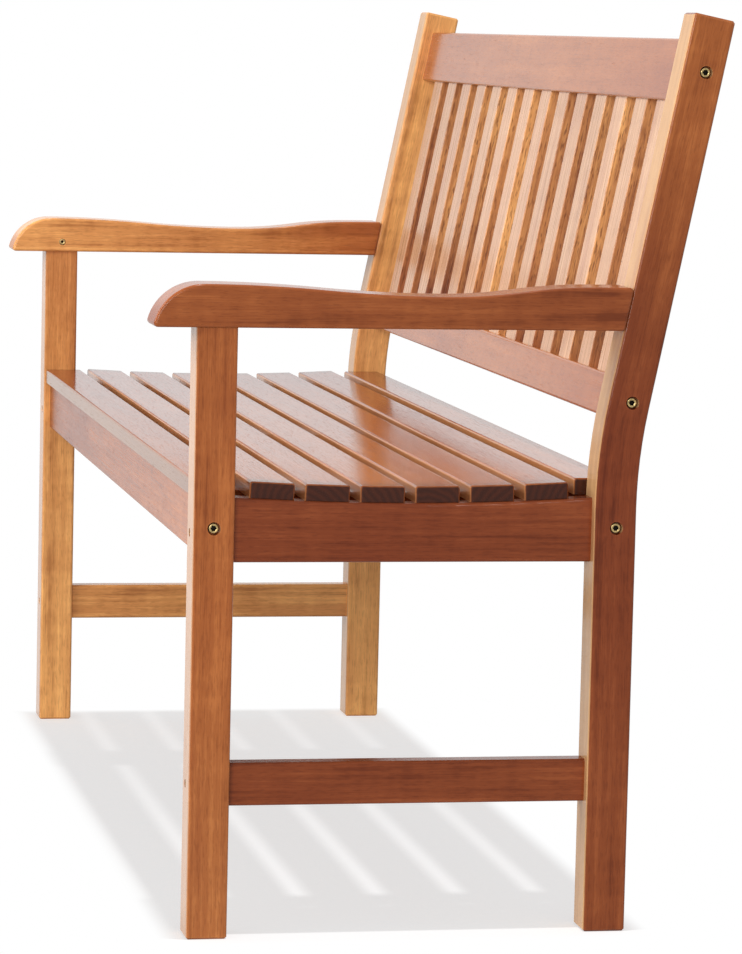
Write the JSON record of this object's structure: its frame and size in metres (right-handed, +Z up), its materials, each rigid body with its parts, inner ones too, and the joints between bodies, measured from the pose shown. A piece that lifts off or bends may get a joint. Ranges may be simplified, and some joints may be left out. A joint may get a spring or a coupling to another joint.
{
  "type": "outdoor bench",
  "caption": "Free-standing slatted hardwood garden bench with armrests, a dished slat seat and a raked slat back.",
  "frame": {"origin": "on the floor, in the middle of the bench's length and of its depth from the arm tips to the post tops", "axes": "+X along the bench towards the sitter's left, -Y to the front, +Z up"},
  "size_m": [1.31, 0.5615, 0.8996],
  "materials": {
    "frame_wood": "oiled, satin gloss",
    "seat_wood": "oiled, satin gloss",
    "back_wood": "oiled, satin gloss",
    "dowel_wood": "plain",
    "brass": "brass plated"
  },
  "bodies": {
    "root": {"front_leg_left": "frame_wood", "rear_post_left": "frame_wood", "armrest_left": "frame_wood", "side_rail_left": "frame_wood", "side_stretcher_left": "frame_wood", "end_bearer_left": "frame_wood", "front_leg_right": "frame_wood", "rear_post_right": "frame_wood", "armrest_right": "frame_wood", "side_rail_right": "frame_wood", "side_stretcher_right": "frame_wood", "end_bearer_right": "frame_wood", "front_rail": "frame_wood", "rear_rail": "frame_wood", "centre_bearer": "frame_wood", "back_top_rail": "frame_wood", "back_bottom_rail": "frame_wood", "seat_slat_1": "seat_wood", "seat_slat_2": "seat_wood", "seat_slat_3": "seat_wood", "seat_slat_4": "seat_wood", "seat_slat_5": "seat_wood", "seat_slat_6": "seat_wood", "seat_slat_7": "seat_wood", "seat_slat_8": "seat_wood", "back_slat_01": "back_wood", "back_slat_02": "back_wood", "back_slat_03": "back_wood", "back_slat_04": "back_wood", "back_slat_05": "back_wood", "back_slat_06": "back_wood", "back_slat_07": "back_wood", "back_slat_08": "back_wood", "back_slat_09": "back_wood", "back_slat_10": "back_wood", "back_slat_11": "back_wood", "back_slat_12": "back_wood", "back_slat_13": "back_wood", "back_slat_14": "back_wood", "frame_bolts": "brass", "barrel_nuts": "brass", "rail_dowels": "dowel_wood", "arm_dowels": "dowel_wood", "bearer_dowels": "dowel_wood", "slat_dowels": "dowel_wood", "leg_screws": "brass", "arm_screws": "brass"}
  },
  "joints": []
}
